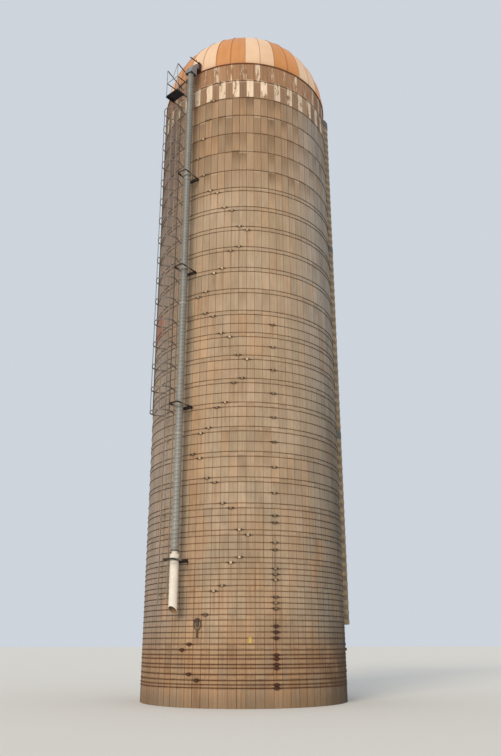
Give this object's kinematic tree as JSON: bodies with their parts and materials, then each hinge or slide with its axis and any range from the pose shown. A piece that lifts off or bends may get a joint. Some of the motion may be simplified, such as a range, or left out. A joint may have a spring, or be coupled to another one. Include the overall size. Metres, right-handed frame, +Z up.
{
  "type": "stave silo",
  "caption": "Round concrete stave silo with a two-colour domed steel roof, caged ladder, fill pipe with hood and half-round unloading chute.",
  "frame": {"origin": "centre of the silo's round wall at ground level, on the underside of the floor slab", "axes": "+Z up the axis of the silo; the fill pipe and ladder are towards -X and -Y, the chute is towards +X and +Y"},
  "size_m": [6.6222, 6.4082, 24.329],
  "materials": {
    "concrete": "weathered concrete staves",
    "floor": "plain cast concrete",
    "dome_orange": "faded satin paint",
    "dome_cream": "faded satin paint",
    "galvanised": "dull galvanised sheet",
    "white_pipe": "satin white",
    "dark_steel": "dark weathered steel",
    "rusty_steel": "rusty steel",
    "chute_sheet": "weathered tan sheet",
    "door_wood": "weathered boards"
  },
  "bodies": {
    "root": {"floor_slab": "floor", "wall_back": "concrete", "wall_back_left": "concrete", "wall_left": "concrete", "wall_front": "concrete", "wall_right": "concrete", "wall_over_doors": "concrete", "door_frame": "dark_steel", "door_panels": "door_wood", "dome_panel_01": "dome_cream", "dome_panel_02": "dome_orange", "dome_panel_03": "dome_cream", "dome_panel_04": "dome_orange", "dome_panel_05": "dome_cream", "dome_panel_06": "dome_orange", "dome_panel_07": "dome_cream", "dome_panel_08": "dome_orange", "dome_panel_09": "dome_cream", "dome_panel_10": "dome_orange", "dome_panel_11": "dome_cream", "dome_panel_12": "dome_orange", "dome_panel_13": "dome_cream", "dome_panel_14": "dome_orange", "dome_panel_15": "dome_cream", "dome_panel_16": "dome_orange", "dome_panel_17": "dome_cream", "dome_panel_18": "dome_orange", "dome_cap": "dome_cream", "fill_pipe": "galvanised", "pipe_collar": "white_pipe", "outlet_pipe": "white_pipe", "fill_hood": "galvanised", "hood_collar": "rusty_steel", "hood_rod": "rusty_steel", "pipe_bracket_1": "dark_steel", "pipe_bracket_2": "dark_steel", "pipe_bracket_3": "dark_steel", "pipe_bracket_4": "dark_steel", "ladder": "galvanised", "ladder_cage": "galvanised", "platform": "dark_steel", "guard_rail": "dark_steel", "chute": "chute_sheet", "chute_cap": "dark_steel", "tie_ring": "dark_steel"}
  },
  "joints": []
}
